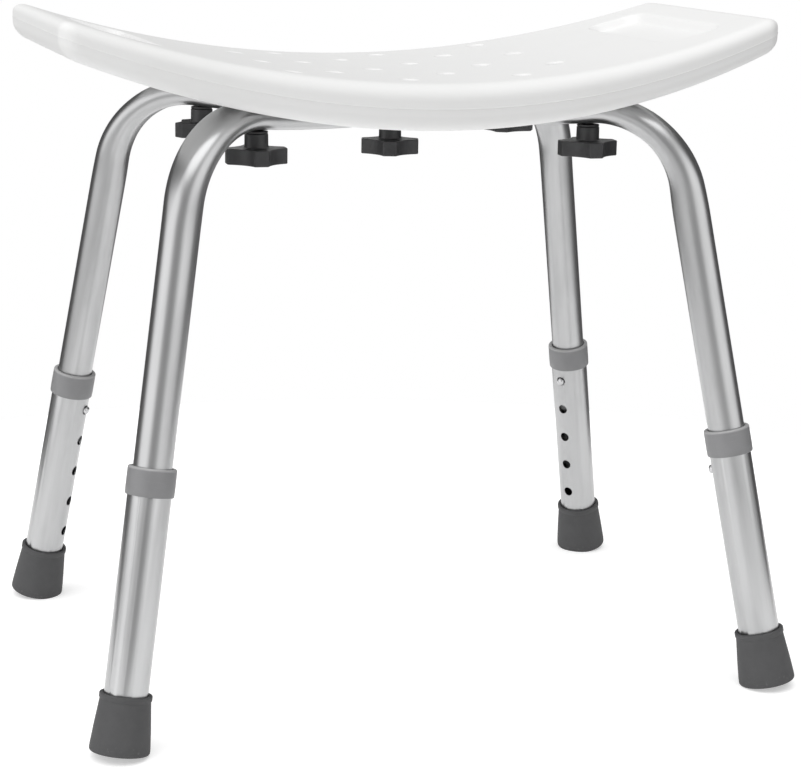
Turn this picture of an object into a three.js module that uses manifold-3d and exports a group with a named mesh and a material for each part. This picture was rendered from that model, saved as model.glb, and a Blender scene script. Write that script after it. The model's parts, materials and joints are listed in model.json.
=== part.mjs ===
// A shower stool: a blow-moulded seat on two bent tubes that cross under it, with four telescopic legs.
// Millimetres, +Z up. The origin is on the floor, under the middle of the seat, whose length runs along X.
import * as THREE from 'three';
import Module from 'manifold-3d';
import { mergeVertices } from 'three/addons/utils/BufferGeometryUtils.js';

const wasm = await Module();
wasm.setup();

const DEG = Math.PI / 180;
const gap = 0.3; // between pieces that touch or press together on the real stool

const seat = {
  length: 502,
  endWidth: 212,
  middleWidth: 280,
  thickness: 31,
  endThickness: 23.7,
  endRise: 41.6, // how much higher the ends of the top face are than its middle
  edgeRadius: 11,
  wall: 3,
  bulgeSteps: 14, // facets along the length
  hollowSteps: 8, // and along the hollow
};
const drain = { radius: 5, pitch: 40, rows: 6, columns: 6, rim: 2.5, sides: 8 };
const grip = { inset: 51, length: 150, width: 46, depth: 6, edgeRadius: 5 };
const blowHole = { radius: 3, y: 62, sides: 8 };
const groove = { depth: 10.2, sideGap: 0.5 }; // depth is at the middle of the seat's underside

const tube = { diameter: 25.4, wall: 1.25, flatThickness: 18, sides: 16 };
const arm = {
  slope: 5 * DEG, // rise of the arm where its bend begins
  bendRadius: 65,
  bendSteps: 8,
  roundFrom: 0.5, // share of the bend after which the flat section begins to turn round
  roundOff: 20, // length below the bend over which it goes on turning round
};
const shoulder = { x: 167.6, y: 112, z: 405.2 }; // where the lines of arm and leg meet
const foot = { x: 232.5, y: 170, settle: 1.5 }; // settle: how far a tip's edge is pressed flat
const crossing = { thickness: 8.7, blend: 22 }; // each tube where they lie on each other

const leg = {
  wall: 1.25,
  slideGap: 0.35,
  length: 172.3,
  topHoleDepth: 25.4, // from the top of the leg tube down to the first hole
  holePitch: 25.4,
  holeCount: 5,
  holeClearance: 0.75, // around a snap button
  holeSides: 8,
  frameEndDepth: 26.6, // from the first hole down to the end of the frame tube
  sides: 20,
};
const collar = { height: 18.4, lip: 3, wall: 1.4, edge: 1.2 };
const tip = { height: 38.4, flare: 2.55, rimWall: 2.6, rimHeight: 4, rimStep: 0.5, floor: 8, edge: 1.2 };
const tipWasher = { thickness: 1.5, boreRadius: 5, sides: 12 };

const button = {
  radius: 3,
  stickOut: 2.6,
  dome: 1.6,
  flange: 1.4, // how far the flange reaches past the button's side
  flangeThickness: 1,
  flangeDepth: 1.4,
  sides: 10,
};
const leaf = { width: 8, thickness: 0.8, height: 44, tail: 5, farGap: 0.5 };

const stud = { radius: 3.9, engagement: 12, holdDepth: 15, clearance: 0.5, sides: 10 };
const knob = {
  inset: 2, // from the start of the bend back to the knob
  acrossTips: 40.5,
  tipWidth: 9.5,
  waist: 2.6, // how far the sides curve in between the tips
  headHeight: 10.5,
  bevel: 1,
  neckRadius: 7.85,
  neckHeight: 9.6,
  neckSides: 16,
};
const knobTurns = { centre: -18, front_left: -4, front_right: -4, rear_right: -30, rear_left: 20 }; // degrees
const washer = { radius: 7.7, thickness: 1.2, sides: 12 };
const insert = { wall: 1.8, flange: 1.2, flangeThickness: 1.6, headroom: 1, boss: 3.2 };

const legTubeRadius = tube.diameter / 2 + leg.slideGap + leg.wall;
const tipRimRadius = legTubeRadius + gap + tip.rimWall;
const tipBaseRadius = tipRimRadius + tip.flare;
const legTubeStart = tip.floor + tipWasher.thickness + 2 * gap;
const legTubeTop = legTubeStart + leg.length;
const topHole = legTubeTop - leg.topHoleDepth;
const frameEnd = topHole - leg.frameEndDepth;
const insertRadius = stud.radius + stud.clearance + insert.wall;

const up = new THREE.Vector3(0, 0, 1);
const halfLength = seat.length / 2;

// ---- solids ----

function solidOf(geometry) {
  const bare = geometry.clone();
  bare.deleteAttribute('normal');
  bare.deleteAttribute('uv');
  const merged = mergeVertices(bare, 1e-3);
  const triVerts = new Uint32Array(merged.index.array);
  const vertProperties = merged.attributes.position.array;
  return new wasm.Manifold(new wasm.Mesh({ numProp: 3, vertProperties, triVerts }));
}

function geometryOf(solid) {
  const mesh = solid.getMesh();
  const geometry = new THREE.BufferGeometry();
  geometry.setAttribute('position', new THREE.BufferAttribute(new Float32Array(mesh.vertProperties), 3));
  geometry.setIndex(new THREE.BufferAttribute(new Uint32Array(mesh.triVerts), 1));
  return geometry;
}

function join(...geometries) {
  return geometryOf(geometries.map(solidOf).reduce((whole, more) => whole.add(more)));
}

function cut(geometry, ...tools) {
  return geometryOf(tools.map(solidOf).reduce((whole, tool) => whole.subtract(tool), solidOf(geometry)));
}

// A ring or round bar about Z. The profile lists [radius, z] upwards on the outside.
function turned(profile, sides) {
  const points = profile.map(([radius, z]) => new THREE.Vector2(radius, z));
  return new THREE.LatheGeometry(points, sides).rotateX(Math.PI / 2);
}

function ring(outer, inner, low, high, sides) {
  return turned([[inner, low], [outer, low], [outer, high], [inner, high], [inner, low]], sides);
}

function rod(radius, low, high, sides) {
  return turned([[0, low], [radius, low], [radius, high], [0, high]], sides);
}

// The corner radius of a polygon that just clears a circle all round.
function around(radius, sides) {
  return radius / Math.cos(Math.PI / sides);
}

// ---- seat ----

// A slab centred on the origin with all its edges rounded, cut into cells so that it can be bent.
function roundedSlab(length, width, thickness, radius, steps, edgeSteps) {
  const cells = [steps, 4, 1].map((count) => count + 2 * edgeSteps);
  const slab = new THREE.BoxGeometry(...cells, ...cells);
  const position = slab.attributes.position;
  const inner = [length, width, thickness].map((size) => size / 2 - radius);
  for (let i = 0; i < position.count; i++) {
    const core = [];
    const reach = new THREE.Vector3();
    cells.forEach((count, axis) => {
      const flat = count / 2 - edgeSteps;
      const at = position.getComponent(i, axis);
      const beyond = Math.max(Math.abs(at) - flat, 0) / edgeSteps;
      core.push(THREE.MathUtils.clamp(at / flat, -1, 1) * inner[axis]);
      reach.setComponent(axis, Math.sign(at) * Math.tan(beyond * Math.PI / 4));
    });
    reach.setLength(radius);
    position.setXYZ(i, core[0] + reach.x, core[1] + reach.y, core[2] + reach.z);
  }
  return slab;
}

function topHeight(x) {
  return underside + seat.thickness + seat.endRise * (x / halfLength) ** 2;
}

// Bends a flat slab to the seat's saddle, its barrel plan and its thinner ends.
function bentToSeat(slab) {
  const position = slab.attributes.position;
  for (let i = 0; i < position.count; i++) {
    const x = position.getX(i);
    const share = (x / halfLength) ** 2;
    const thickness = seat.thickness - (seat.thickness - seat.endThickness) * share;
    const width = seat.middleWidth - (seat.middleWidth - seat.endWidth) * share;
    const depth = (0.5 - position.getZ(i) / seat.thickness) * thickness;
    position.setXYZ(i, x, position.getY(i) * width / seat.endWidth, topHeight(x) - depth);
  }
  return slab;
}

function seatSlab(inset, steps, edgeSteps) {
  const radius = seat.edgeRadius - inset;
  const sizes = [seat.length, seat.endWidth, seat.thickness].map((size) => size - 2 * inset);
  return bentToSeat(roundedSlab(...sizes, radius, steps, edgeSteps));
}

// The staggered pattern of drain holes: every other place of a square grid.
function drainPlaces() {
  const places = [];
  for (let column = 0; column < drain.columns; column++) {
    for (let row = column % 2; row < drain.rows; row += 2) {
      const x = (column - (drain.columns - 1) / 2) * drain.pitch;
      const y = (row - (drain.rows - 1) / 2) * drain.pitch;
      places.push([x, y]);
    }
  }
  return places;
}

// A tool for one end's hand grip, larger all round by extra.
function gripTool(end, extra) {
  const x = end * (halfLength - grip.inset);
  const slope = Math.atan(2 * seat.endRise * x / halfLength ** 2);
  const sizes = [grip.width, grip.length, 2 * grip.depth].map((size) => size + 2 * extra);
  return roundedSlab(...sizes, grip.edgeRadius + extra, 2, 2)
    .rotateY(-slope)
    .translate(x, 0, topHeight(x));
}

// A tool that follows the upper face of one frame tube and is open below.
function grooveTool(corner, extra) {
  const lift = tube.flatThickness / 2 + gap + extra;
  const floor = underside - seat.thickness;
  const half = halfFramePath(corner)
    .map(({ point, reach, out }) => (
      new THREE.Vector2(reach - out.z * lift, point.z + Math.hypot(out.x, out.y) * lift)
    ))
    .filter(({ y }) => y > floor);
  const right = [...half, new THREE.Vector2(half.at(-1).x, floor)];
  const left = right.map(({ x, y }) => new THREE.Vector2(-x, y)).reverse();
  const width = stadiumWidth(crossing.thickness) + 2 * (groove.sideGap + extra);
  const outline = new THREE.Shape([...left, ...right]);
  return new THREE.ExtrudeGeometry(outline, { depth: width, bevelEnabled: false })
    .translate(0, 0, -width / 2)
    .rotateX(Math.PI / 2)
    .rotateZ(Math.atan2(corner.y, corner.x));
}

function seatGeometry() {
  const low = underside - seat.thickness;
  const high = topHeight(halfLength) + seat.thickness;
  const grooves = [corners[0], corners[1]];
  const drainRods = (radius) => (
    drainPlaces().map(([x, y]) => rod(radius, low, high, drain.sides).translate(x, y, 0))
  );
  const bossRadius = insertRadius + insert.flange + gap + insert.boss;
  const bosses = fixings.map(({ x, y }) => rod(bossRadius, low, high, stud.sides).translate(x, y, 0));
  const hollow = cut(
    seatSlab(seat.wall, seat.hollowSteps, 1),
    ...drainRods(drain.radius + drain.rim),
    ...bosses,
    ...grooves.map((corner) => grooveTool(corner, seat.wall)),
    ...[-1, 1].map((end) => gripTool(end, seat.wall)),
  );
  const pockets = fixings.map(({ x, y, ceiling }) => (
    turned(insertProfile(gap), stud.sides).translate(x, y, ceiling)
  ));
  const middle = underside + seat.thickness / 2;
  return cut(
    seatSlab(0, seat.bulgeSteps, 2),
    hollow,
    rod(blowHole.radius, low, middle, blowHole.sides).translate(0, blowHole.y, 0),
    ...grooves.map((corner) => grooveTool(corner, 0)),
    ...[-1, 1].map((end) => gripTool(end, 0)),
    ...drainRods(drain.radius),
    ...pockets,
  );
}

// A threaded bush with a flange at its mouth, or the pocket that holds it.
function insertProfile(extra) {
  const flangeRadius = insertRadius + insert.flange + extra;
  const flangeTop = insert.flangeThickness + extra;
  const top = stud.engagement + insert.headroom + extra;
  const low = extra ? -insert.flangeThickness : gap;
  return [
    [0, low],
    [flangeRadius, low],
    [flangeRadius, flangeTop],
    [insertRadius + extra, flangeTop],
    [insertRadius + extra, top],
    [0, top],
  ];
}

function insertGeometry() {
  const bore = rod(stud.radius + stud.clearance, 0, stud.engagement + 2 * insert.headroom, stud.sides);
  return cut(turned(insertProfile(0), stud.sides), bore);
}

// ---- frame ----

const stadiumFlat = (thickness) => Math.PI * (tube.diameter - thickness) / 2;
const stadiumWidth = (thickness) => thickness + stadiumFlat(thickness);

// Where an arm's bend begins and how it turns. sag is the arm's drop from there to the middle of the seat.
function bendOf({ x, y, shoulderPoint, down }) {
  const level = new THREE.Vector3(x, y, 0).normalize();
  const armEnd = level.clone().multiplyScalar(Math.cos(arm.slope)).addScaledVector(up, Math.sin(arm.slope));
  const turn = armEnd.angleTo(down);
  const axis = armEnd.clone().cross(down).normalize();
  const start = shoulderPoint.clone().addScaledVector(armEnd, -arm.bendRadius * Math.tan(turn / 2));
  const reach = Math.hypot(start.x, start.y);
  return { level, armEnd, turn, axis, start, reach, sag: Math.tan(arm.slope) * reach / 2 };
}

// Points of half a frame tube, from the middle of the seat out and down to the end inside a leg.
// Each has its tangent, the direction of the wide side, and its thickness.
function halfFramePath(corner) {
  const { level, armEnd, turn, axis, start, reach, sag } = bendOf(corner);
  const { footPoint, down } = corner;
  const side = up.clone().cross(level);
  const stations = [];
  const add = (point, out, wide, thickness) => {
    stations.push({ point, out, wide, thickness, reach: Math.hypot(point.x, point.y) });
  };

  // the arm is a shallow arc that follows the seat
  const lap = stadiumWidth(crossing.thickness) / 2 * lapStretch();
  const blendEnd = lap + crossing.blend;
  const places = [lap];
  [1 / 3, 2 / 3, 1].forEach((share) => places.push(lap + crossing.blend * share));
  places.push((blendEnd + reach) / 2);
  places.forEach((r) => {
    const height = start.z - sag + sag * (r / reach) ** 2;
    const out = level.clone().addScaledVector(up, 2 * sag * r / reach ** 2).normalize();
    const opened = THREE.MathUtils.smoothstep(r, lap, blendEnd);
    const thickness = THREE.MathUtils.lerp(crossing.thickness, tube.flatThickness, opened);
    const wide = side.clone().lerp(axis, r / reach);
    add(level.clone().multiplyScalar(r).setZ(height), out, wide, thickness);
  });

  // the bend, in which the flat section begins to turn round
  const bendLength = arm.bendRadius * turn;
  const thicknessAt = (along) => {
    const rounded = THREE.MathUtils.smoothstep(along, arm.roundFrom * bendLength, bendLength + arm.roundOff);
    return THREE.MathUtils.lerp(tube.flatThickness, tube.diameter, rounded);
  };
  const centre = start.clone().add(axis.clone().cross(armEnd).multiplyScalar(arm.bendRadius));
  for (let step = 0; step <= arm.bendSteps; step++) {
    const angle = turn * step / arm.bendSteps;
    const out = armEnd.clone().applyAxisAngle(axis, angle);
    const point = start.clone().sub(centre).applyAxisAngle(axis, angle).add(centre);
    add(point, out, axis, thicknessAt(arm.bendRadius * angle));
  }

  // the leg
  const bendEnd = stations.at(-1).point;
  [1 / 2, 1].forEach((share) => {
    const below = arm.roundOff * share;
    add(bendEnd.clone().addScaledVector(down, below), down, axis, thicknessAt(bendLength + below));
  });
  add(footPoint.clone().addScaledVector(down, -frameEnd), down, axis, tube.diameter);
  return stations;
}

// How far, in half widths, the lap of two crossing tubes reaches along each of them.
function lapStretch() {
  const angle = 2 * Math.atan2(shoulder.y, shoulder.x);
  return (1 + Math.abs(Math.cos(angle))) / Math.sin(angle);
}

// A whole tube from one leg to the opposite one. layer is 1 for the tube on top at the crossing, else -1.
function framePath(corner, layer) {
  const far = halfFramePath(opposite(corner));
  const near = halfFramePath(corner).reverse().map((station) => ({
    ...station,
    out: station.out.clone().negate(),
    wide: station.wide.clone().negate(),
  }));
  return [...near, ...far].map((station) => {
    const thin = station.wide.clone().cross(station.out).normalize();
    const shift = Math.max(tube.flatThickness - station.thickness, 0) / 2;
    return { ...station, point: station.point.clone().addScaledVector(up, layer * shift), thin };
  });
}

// A straight tube is turned first, one ring of vertices for each station, with radius 2 outside and 1 inside.
// Each ring is then moved to its station and squeezed to a stadium with the same girth.
function bentTube(stations) {
  const count = stations.length;
  const outside = stations.map((station, i) => new THREE.Vector2(2, i));
  const inside = stations.map((station, i) => new THREE.Vector2(1, count - 1 - i));
  const profile = [...outside, ...inside, outside[0]];
  const blank = new THREE.LatheGeometry(profile, tube.sides, Math.PI / tube.sides);
  const position = blank.attributes.position;
  const vertex = new THREE.Vector3();
  for (let i = 0; i < position.count; i++) {
    vertex.fromBufferAttribute(position, i);
    const { point, wide, thin, thickness } = stations[Math.round(vertex.y)];
    const size = Math.hypot(vertex.x, vertex.z);
    const radius = thickness / 2 - (size < 1.5 ? tube.wall : 0);
    const across = radius * vertex.x / size + Math.sign(vertex.x) * stadiumFlat(thickness) / 2;
    const through = radius * vertex.z / size;
    vertex.copy(point).addScaledVector(wide, across).addScaledVector(thin, through);
    position.setXYZ(i, vertex.x, vertex.y, vertex.z);
  }
  return blank;
}

function frameTubeGeometry(corner, layer) {
  const ends = [corner, opposite(corner)];
  const studHoles = fixings
    .filter((fixing) => !fixing.corner || ends.includes(fixing.corner))
    .map(({ x, y, ceiling }) => {
      const low = ceiling - 2 * tube.flatThickness;
      return rod(stud.radius + stud.clearance, low, ceiling + stud.radius, stud.sides).translate(x, y, 0);
    });
  const buttonHoles = ends.map((end) => (
    sideways(rod(button.radius + gap, 0, tube.diameter, leg.holeSides), topHole).applyMatrix4(end.matrix)
  ));
  return cut(bentTube(framePath(corner, layer)), ...studHoles, ...buttonHoles);
}

// ---- legs, each in a frame with Z up the leg from the middle of its base and X towards the middle ----

// Turns a bar on Z to lie along X at a height on the leg.
function sideways(geometry, height) {
  return geometry.rotateZ(Math.PI / leg.holeSides).rotateY(Math.PI / 2).translate(0, 0, height);
}

function legTubeGeometry() {
  const holes = [];
  for (let i = 0; i < leg.holeCount; i++) {
    const height = topHole - i * leg.holePitch;
    const hole = rod(button.radius + leg.holeClearance, 0, 2 * legTubeRadius, leg.holeSides);
    holes.push(sideways(hole, height));
  }
  const bore = around(tube.diameter / 2 + leg.slideGap, leg.sides);
  return cut(ring(legTubeRadius, bore, legTubeStart, legTubeTop, leg.sides), ...holes);
}

function collarGeometry() {
  const seatRadius = around(legTubeRadius + gap, leg.sides);
  const outer = legTubeRadius + gap + collar.wall;
  const lipRadius = around(tube.diameter / 2 + gap, leg.sides);
  const lipLow = legTubeTop + gap;
  const top = legTubeTop + collar.lip;
  const low = top - collar.height;
  return turned([
    [seatRadius, low],
    [outer - collar.edge / 2, low],
    [outer, low + collar.edge / 2],
    [outer, top - collar.edge],
    [outer - collar.edge, top],
    [lipRadius, top],
    [lipRadius, lipLow],
    [seatRadius, lipLow],
    [seatRadius, low],
  ], leg.sides);
}

function tipGeometry(matrix) {
  const bore = around(legTubeRadius + gap, leg.sides);
  const rimLow = tip.height - tip.rimHeight;
  const boot = turned([
    [0, 0],
    [tipBaseRadius - tip.edge, 0],
    [tipBaseRadius, tip.edge],
    [tipRimRadius - tip.rimStep, rimLow],
    [tipRimRadius, rimLow + tip.rimStep],
    [tipRimRadius, tip.height - tip.edge / 2],
    [tipRimRadius - tip.edge / 2, tip.height],
    [bore, tip.height],
    [bore, tip.floor],
    [0, tip.floor],
  ], leg.sides);
  const floor = new THREE.BoxGeometry(1000, 1000, 100).translate(0, 0, -50);
  return cut(boot, floor.applyMatrix4(matrix.clone().invert()));
}

function tipWasherGeometry() {
  const low = tip.floor + gap;
  return ring(legTubeRadius, tipWasher.boreRadius, low, low + tipWasher.thickness, tipWasher.sides);
}

const boreRadius = tube.diameter / 2 - tube.wall;
const flangeRadius = button.radius + button.flange;
const flangeFace = Math.sqrt(boreRadius ** 2 - flangeRadius ** 2) - button.flangeDepth / 2;
const leafFace = flangeFace - button.flangeThickness - gap;

function buttonGeometry() {
  const side = legTubeRadius + button.stickOut - button.dome;
  const dome = [0, 1, 2].map((step) => {
    const angle = step * Math.PI / 4;
    return [button.radius * Math.cos(angle), side + button.dome * Math.sin(angle)];
  });
  return sideways(turned([
    [0, flangeFace - button.flangeThickness],
    [flangeRadius, flangeFace - button.flangeThickness],
    [flangeRadius, flangeFace],
    [button.radius, flangeFace],
    ...dome,
  ], button.sides), topHole);
}

// A V-shaped leaf spring: one arm behind the button, the other against the far side of the tube.
function leafGeometry() {
  const far = -Math.sqrt(boreRadius ** 2 - (leaf.width / 2) ** 2) + leaf.farGap;
  const turnRadius = (leafFace - far) / 4;
  const middle = (leafFace + far) / 2;
  const low = topHole - leaf.tail;
  const high = topHole + leaf.height;
  const half = leaf.thickness / 2;
  const route = [
    new THREE.Vector3(leafFace - half, low, 0),
    new THREE.Vector3(leafFace - half, topHole + leaf.tail, 0),
    new THREE.Vector3(middle + turnRadius, high - turnRadius, 0),
    new THREE.Vector3(middle, high, 0),
    new THREE.Vector3(middle - turnRadius, high - turnRadius, 0),
    new THREE.Vector3(far + half, topHole + leaf.tail, 0),
    new THREE.Vector3(far + half, low, 0),
  ];
  const side = route.map((point, i) => {
    const before = route[Math.max(i - 1, 0)];
    const after = route[Math.min(i + 1, route.length - 1)];
    const along = after.clone().sub(before).normalize();
    return new THREE.Vector2(-along.y, along.x).multiplyScalar(half);
  });
  const outer = route.map(({ x, y }, i) => new THREE.Vector2(x, y).sub(side[i]));
  const inner = route.map(({ x, y }, i) => new THREE.Vector2(x, y).add(side[i])).reverse();
  const outline = new THREE.Shape([...outer, ...inner]);
  return new THREE.ExtrudeGeometry(outline, { depth: leaf.width, bevelEnabled: false })
    .translate(0, 0, -leaf.width / 2)
    .rotateX(Math.PI / 2);
}

// ---- knobs, each in a frame with Z up and the origin on the face of the tube above ----

const neckTop = -(gap + washer.thickness + gap);

// A square with flat tips and sides that curve in.
function knobOutline() {
  const reach = knob.acrossTips / 2 - knob.bevel;
  const half = knob.tipWidth / 2;
  const shape = new THREE.Shape();
  for (let quarter = 0; quarter < 4; quarter++) {
    const turn = (x, y) => new THREE.Vector2(x, y).rotateAround(new THREE.Vector2(), quarter * Math.PI / 2);
    const from = turn(reach, -half);
    const to = turn(reach, half);
    const next = turn(half, reach);
    const middle = to.clone().add(next).multiplyScalar(0.5);
    const pull = middle.multiplyScalar(1 - 2 * knob.waist / middle.length());
    if (quarter === 0) shape.moveTo(from.x, from.y);
    shape.lineTo(to.x, to.y);
    shape.quadraticCurveTo(pull.x, pull.y, next.x, next.y);
  }
  return shape;
}

function knobGeometry() {
  const headTop = neckTop - knob.neckHeight;
  const head = new THREE.ExtrudeGeometry(knobOutline(), {
    depth: knob.headHeight - 2 * knob.bevel,
    curveSegments: 4,
    bevelSegments: 1,
    bevelSize: knob.bevel,
    bevelThickness: knob.bevel,
  }).translate(0, 0, headTop - knob.headHeight + knob.bevel);
  const neck = rod(knob.neckRadius, headTop - knob.bevel, neckTop, knob.neckSides);
  const bore = rod(stud.radius + gap, neckTop - stud.holdDepth - gap, 0, stud.sides);
  return cut(join(head, neck), bore);
}

function studGeometry(top) {
  return rod(stud.radius, neckTop - stud.holdDepth, top, stud.sides);
}

function washerGeometry() {
  const low = neckTop + gap;
  return ring(washer.radius, stud.radius + stud.clearance, low, low + washer.thickness, washer.sides);
}

// ---- places ----

// One corner of the stool: its name, its quarter, and the frame of its leg.
function cornerAt(name, sx, sy) {
  const flatFoot = new THREE.Vector3(sx * foot.x, sy * foot.y, 0);
  const shoulderPoint = new THREE.Vector3(sx * shoulder.x, sy * shoulder.y, shoulder.z);
  const lean = shoulderPoint.clone().sub(flatFoot).normalize();
  const drop = tipBaseRadius * Math.sqrt(1 - lean.z ** 2);
  const footPoint = flatFoot.setZ(drop - foot.settle);
  const upLeg = shoulderPoint.clone().sub(footPoint).normalize();
  const inward = new THREE.Vector3(-footPoint.x, -footPoint.y, 0);
  inward.addScaledVector(upLeg, -inward.dot(upLeg)).normalize();
  const matrix = new THREE.Matrix4()
    .makeBasis(inward, upLeg.clone().cross(inward), upLeg)
    .setPosition(footPoint);
  const down = upLeg.clone().negate();
  return { name, x: shoulderPoint.x, y: shoulderPoint.y, footPoint, shoulderPoint, down, matrix };
}

const corners = [
  cornerAt('front_left', -1, -1),
  cornerAt('front_right', 1, -1),
  cornerAt('rear_right', 1, 1),
  cornerAt('rear_left', -1, 1),
];

function opposite(corner) {
  return corners[(corners.indexOf(corner) + 2) % 4];
}

const bend = bendOf(corners[0]);
const armLow = bend.start.z - bend.sag; // the arms' height under the middle of the seat
const underside = armLow + tube.flatThickness / 2 + gap - groove.depth;

// Where the five knobs are: one under the crossing and one on each arm.
const fixings = [null, ...corners].map((corner) => {
  const radius = corner ? bend.reach - knob.inset : 0;
  const angle = corner ? Math.atan2(corner.y, corner.x) : 0;
  const axisHeight = armLow + bend.sag * (radius / bend.reach) ** 2;
  const tilt = Math.tan(arm.slope) * radius / bend.reach * washer.radius;
  return {
    name: corner ? corner.name : 'centre',
    corner,
    x: radius * Math.cos(angle),
    y: radius * Math.sin(angle),
    ceiling: axisHeight + tube.flatThickness / 2 + gap + tilt,
    face: axisHeight - tube.flatThickness / 2 - tilt,
  };
});

// ---- the stool ----

const white = new THREE.MeshStandardMaterial({ color: 0xf2f2f0, roughness: 0.45, metalness: 0 });
const aluminium = new THREE.MeshStandardMaterial({ color: 0xb4b6b8, roughness: 0.35, metalness: 1 });
const steel = new THREE.MeshStandardMaterial({ color: 0xa8a8a8, roughness: 0.3, metalness: 1 });
const brass = new THREE.MeshStandardMaterial({ color: 0xb79a5a, roughness: 0.4, metalness: 1 });
const greyPlastic = new THREE.MeshStandardMaterial({ color: 0x7b7d7f, roughness: 0.55, metalness: 0 });
const blackPlastic = new THREE.MeshStandardMaterial({ color: 0x333435, roughness: 0.5, metalness: 0 });
const rubber = new THREE.MeshStandardMaterial({ color: 0x545556, roughness: 0.85, metalness: 0 });

const stool = new THREE.Group();

function place(parent, name, geometry, material) {
  const mesh = new THREE.Mesh(geometry, material);
  mesh.name = name;
  parent.add(mesh);
}

place(stool, 'seat', seatGeometry(), white);
place(stool, 'frame_tube_upper', frameTubeGeometry(corners[0], 1), aluminium);
place(stool, 'frame_tube_lower', frameTubeGeometry(corners[1], -1), aluminium);

for (const corner of corners) {
  const group = new THREE.Group();
  group.applyMatrix4(corner.matrix);
  place(group, `leg_tube_${corner.name}`, legTubeGeometry(), aluminium);
  place(group, `collar_${corner.name}`, collarGeometry(), greyPlastic);
  place(group, `rubber_tip_${corner.name}`, tipGeometry(corner.matrix), rubber);
  place(group, `tip_washer_${corner.name}`, tipWasherGeometry(), steel);
  place(group, `snap_button_${corner.name}`, buttonGeometry(), steel);
  place(group, `button_spring_${corner.name}`, leafGeometry(), steel);
  stool.add(group);
}

for (const { name, x, y, face, ceiling } of fixings) {
  const group = new THREE.Group();
  group.position.set(x, y, face);
  group.rotation.z = knobTurns[name] * DEG;
  place(group, `knob_${name}`, knobGeometry(), blackPlastic);
  place(group, `knob_stud_${name}`, studGeometry(ceiling - face + stud.engagement - gap), steel);
  place(group, `knob_washer_${name}`, washerGeometry(), blackPlastic);
  stool.add(group);
  const insertGroup = new THREE.Group();
  insertGroup.position.set(x, y, ceiling);
  place(insertGroup, `seat_insert_${name}`, insertGeometry(), brass);
  stool.add(insertGroup);
}

export default stool;
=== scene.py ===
# Shower stool: a white moulded seat held by five hand screws on two bent aluminium tubes that cross under it,
# with four telescopic legs. Sizes are in millimetres; a mesh is scaled to metres when it becomes a piece.
import json
import math
import bpy
import bmesh
from mathutils import Matrix, Vector


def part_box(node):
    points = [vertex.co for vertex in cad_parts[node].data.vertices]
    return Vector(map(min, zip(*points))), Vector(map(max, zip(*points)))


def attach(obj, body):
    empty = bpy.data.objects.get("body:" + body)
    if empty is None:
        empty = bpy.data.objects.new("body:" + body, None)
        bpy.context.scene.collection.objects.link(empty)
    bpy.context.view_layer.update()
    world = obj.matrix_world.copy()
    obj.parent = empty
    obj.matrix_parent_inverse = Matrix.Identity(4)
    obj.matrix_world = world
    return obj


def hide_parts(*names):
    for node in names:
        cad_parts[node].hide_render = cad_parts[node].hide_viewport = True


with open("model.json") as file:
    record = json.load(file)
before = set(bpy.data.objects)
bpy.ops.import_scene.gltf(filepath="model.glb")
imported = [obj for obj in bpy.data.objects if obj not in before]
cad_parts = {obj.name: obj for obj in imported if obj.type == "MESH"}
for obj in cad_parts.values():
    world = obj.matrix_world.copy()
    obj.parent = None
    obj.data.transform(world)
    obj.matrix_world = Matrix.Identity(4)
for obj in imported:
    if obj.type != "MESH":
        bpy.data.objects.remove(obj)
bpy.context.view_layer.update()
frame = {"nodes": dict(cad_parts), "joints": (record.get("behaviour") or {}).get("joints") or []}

nodes = frame["nodes"]
joints = {joint["name"]: joint for joint in frame["joints"]}
mm = 0.001
cornerNames = ["front_left", "front_right", "rear_right", "rear_left"]
fixingNames = ["centre"] + cornerNames
print("frame loaded:", len(nodes), "parts")


# ---- mesh helpers ----

# turns a profile of (radius, height) points all the way round Z
def turned(profile, steps=48):
    bm = bmesh.new()
    points = [bm.verts.new((radius, 0, height)) for radius, height in profile]
    edges = [bm.edges.new(pair) for pair in zip(points, points[1:])]
    bmesh.ops.spin(bm, geom=points + edges, cent=(0, 0, 0), axis=(0, 0, 1), angle=2 * math.pi,
                   steps=steps, use_merge=True)
    bmesh.ops.remove_doubles(bm, verts=bm.verts, dist=0.002)
    bmesh.ops.recalc_face_normals(bm, faces=bm.faces)
    return bm


def sharpEdges(bm, degrees, test=lambda edge: True):
    limit = math.radians(degrees)
    return [edge for edge in bm.edges
            if len(edge.link_faces) == 2 and edge.calc_face_angle() > limit and test(edge)]


def soften(bm, offset, segments=3, degrees=35, test=lambda edge: True):
    bmesh.ops.bevel(bm, geom=sharpEdges(bm, degrees, test), offset=offset, segments=segments, profile=0.5,
                    affect="EDGES", material=-1, clamp_overlap=True)


def vertsOf(geom):
    return [item for item in geom if isinstance(item, bmesh.types.BMVert)]


def looseObject(bm, name):
    mesh = bpy.data.meshes.new(name)
    bm.to_mesh(mesh)
    bm.free()
    made = bpy.data.objects.new(name, mesh)
    bpy.context.scene.collection.objects.link(made)
    return made


# cuts one bmesh with another and gives back the cut bmesh
def carved(bm, cutter):
    body = looseObject(bm, "carveBody")
    tool = looseObject(cutter, "carveTool")
    cut = body.modifiers.new("cut", "BOOLEAN")
    cut.operation = "DIFFERENCE"
    cut.solver = "EXACT"
    cut.object = tool
    shaped = body.evaluated_get(bpy.context.evaluated_depsgraph_get())
    result = bmesh.new()
    result.from_mesh(shaped.to_mesh())
    shaped.to_mesh_clear()
    for used in (body, tool):
        mesh = used.data
        bpy.data.objects.remove(used)
        bpy.data.meshes.remove(mesh)
    return result


def joined(parts):
    whole = bmesh.new()
    for part in parts:
        mesh = bpy.data.meshes.new("joining")
        part.to_mesh(mesh)
        part.free()
        whole.from_mesh(mesh)
        bpy.data.meshes.remove(mesh)
    return whole


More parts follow.
